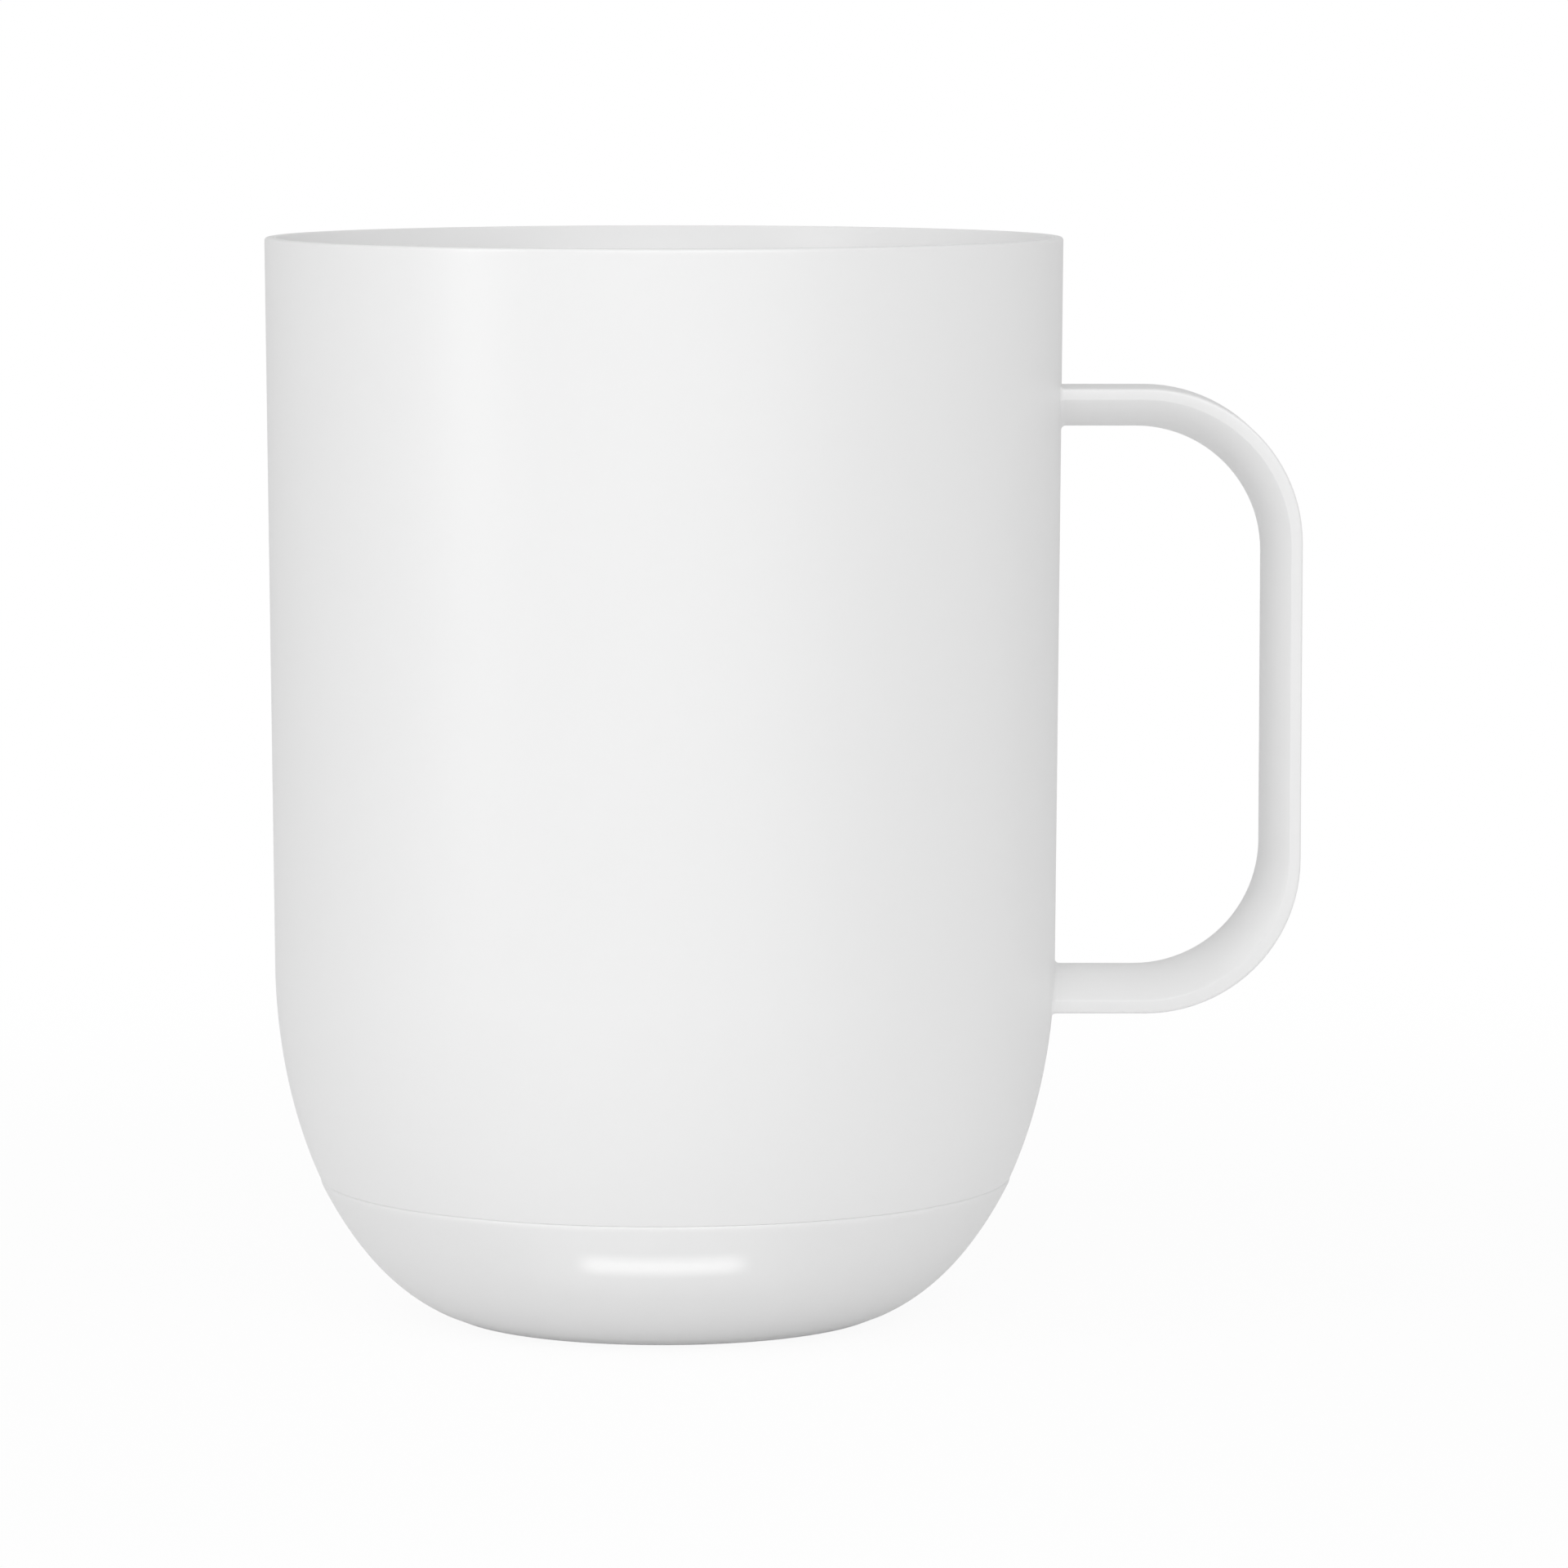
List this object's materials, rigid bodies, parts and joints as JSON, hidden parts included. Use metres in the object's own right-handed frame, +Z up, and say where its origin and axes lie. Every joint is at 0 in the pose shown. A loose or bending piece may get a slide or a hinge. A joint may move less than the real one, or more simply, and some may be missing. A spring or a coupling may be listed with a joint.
{
  "type": "self heating mug",
  "caption": "Tall white mug with a C-shaped handle and a battery heated base that has a soft front light, charging rings and a power button below.",
  "frame": {"origin": "on the surface that the mug stands on, under the middle of its whole width; the cup's axis is upright at x = -13.15 mm", "axes": "+Z up, +X towards the handle, -Y towards the side with the light"},
  "size_m": [0.1142, 0.088, 0.12],
  "materials": {
    "coated_white": "satin ceramic coating on stainless steel, very fine orange peel",
    "white_plastic": "satin moulded",
    "grey_rubber": "matt silicone",
    "gold_contact": "gold plated",
    "black_plastic": "moulded resin",
    "grey_plastic": "moulded, fine grain",
    "board_green": "solder mask",
    "aluminium_can": "plain can",
    "steel": "plain",
    "lit_diode": "clear resin, lit",
    "light_guide": "clear, with a diffusing face",
    "cell_wrap": null,
    "pale_foam": "felted insulation",
    "amber_film": "polyimide film",
    "red_lead": "silicone insulation",
    "black_lead": "silicone insulation",
    "pale_lead": "silicone insulation"
  },
  "bodies": {
    "mug_body": {"outer_shell": "coated_white", "inner_cup": "coated_white", "handle": "coated_white", "base_housing": "white_plastic", "bottom_cover": "white_plastic", "seam_gasket": "grey_rubber", "foot_ring": "grey_rubber", "button_boot": "grey_rubber", "contact_ring_outer": "gold_contact", "contact_ring_inner": "gold_contact", "contact_pin_outer": "gold_contact", "contact_pin_inner": "gold_contact", "switch_body": "black_plastic", "main_board": "board_green", "radio_module": "steel", "controller_chip": "black_plastic", "charger_chip": "black_plastic", "heater_transistor_1": "black_plastic", "heater_transistor_2": "black_plastic", "power_inductor": "grey_plastic", "capacitor_1": "aluminium_can", "capacitor_2": "aluminium_can", "capacitor_3": "aluminium_can", "battery_connector": "white_plastic", "heater_connector": "white_plastic", "sensor_connector": "white_plastic", "led_1": "lit_diode", "led_2": "lit_diode", "led_3": "lit_diode", "light_pipe": "light_guide", "inner_frame": "grey_plastic", "mounting_ring": "steel", "base_screw_1": "steel", "base_screw_2": "steel", "base_screw_3": "steel", "frame_screw_1": "steel", "frame_screw_2": "steel", "frame_screw_3": "steel", "board_screw_1": "steel", "board_screw_2": "steel", "battery_cell_front": "cell_wrap", "battery_cell_rear": "cell_wrap", "cell_link": "steel", "cell_tab_plus": "steel", "cell_tab_minus": "steel", "battery_thermistor": "black_plastic", "insulation_disc": "pale_foam", "pressure_plate": "steel", "heater_film": "amber_film", "cup_thermistor": "black_plastic", "thermal_fuse": "steel", "heater_lead_1": "red_lead", "heater_lead_2": "red_lead", "battery_lead_plus": "red_lead", "battery_lead_minus": "black_lead", "cup_sensor_lead": "pale_lead", "battery_sensor_lead": "pale_lead"},
    "button": {"power_button": "white_plastic"},
    "plunger": {"switch_plunger": "grey_plastic"}
  },
  "joints": [
    {"name": "button_press", "type": "slide", "parent": "mug_body", "child": "button", "axis": [0, 0, 1], "range_m": [0, 0.0006], "stiffness_N_per_m": 800, "springref_m": -0.0006, "deforming": ["button_boot"]},
    {"name": "plunger_press", "type": "slide", "parent": "mug_body", "child": "plunger", "axis": [0, 0, 1], "range_m": [0, 0.0006]}
  ],
  "couplings": [
    {"joint": "plunger_press", "follows": "button_press", "ratio": 1}
  ]
}
